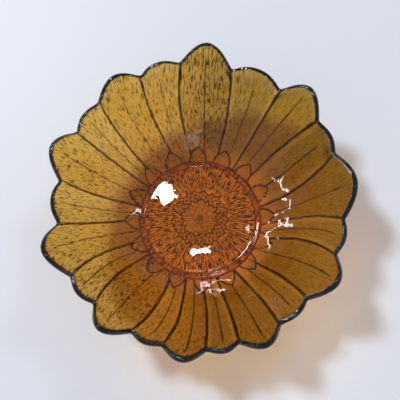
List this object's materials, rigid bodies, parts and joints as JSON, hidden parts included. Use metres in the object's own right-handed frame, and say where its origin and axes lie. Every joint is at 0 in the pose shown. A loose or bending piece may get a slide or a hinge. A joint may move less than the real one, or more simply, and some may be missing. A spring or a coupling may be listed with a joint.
{
  "type": "glass candy dish",
  "caption": "Pressed amber glass candy dish shaped as an open flower: round well, low foot ring and overlapping petals with a scalloped rim.",
  "frame": {"origin": "on the table under the axis of the well, at the middle of the foot ring's resting face", "axes": "+Z up out of the bowl; +Y towards the first large petal, which lies within a few degrees of it; +X to the right seen from above with +Y up"},
  "size_m": [0.1718, 0.1789, 0.0655],
  "materials": {
    "amber_glass": "clear amber pressed glass, smooth inside, fine radial grain on the petals outside"
  },
  "bodies": {
    "root": {"base_disc": "amber_glass", "centre_button": "amber_glass", "foot_ring": "amber_glass", "heart_disc": "amber_glass", "large_petal_01": "amber_glass", "large_petal_02": "amber_glass", "large_petal_03": "amber_glass", "large_petal_04": "amber_glass", "large_petal_05": "amber_glass", "large_petal_06": "amber_glass", "large_petal_07": "amber_glass", "large_petal_08": "amber_glass", "large_petal_09": "amber_glass", "large_petal_10": "amber_glass", "seed_ring": "amber_glass", "sepal_01": "amber_glass", "sepal_02": "amber_glass", "sepal_03": "amber_glass", "sepal_04": "amber_glass", "sepal_05": "amber_glass", "sepal_06": "amber_glass", "sepal_07": "amber_glass", "sepal_08": "amber_glass", "sepal_09": "amber_glass", "sepal_10": "amber_glass", "sepal_11": "amber_glass", "sepal_12": "amber_glass", "sepal_13": "amber_glass", "sepal_14": "amber_glass", "sepal_15": "amber_glass", "sepal_16": "amber_glass", "small_petal_01": "amber_glass", "small_petal_02": "amber_glass", "small_petal_03": "amber_glass", "small_petal_04": "amber_glass", "small_petal_05": "amber_glass", "small_petal_06": "amber_glass", "small_petal_07": "amber_glass", "small_petal_08": "amber_glass", "small_petal_09": "amber_glass", "small_petal_10": "amber_glass", "stamens": "amber_glass"}
  },
  "joints": []
}
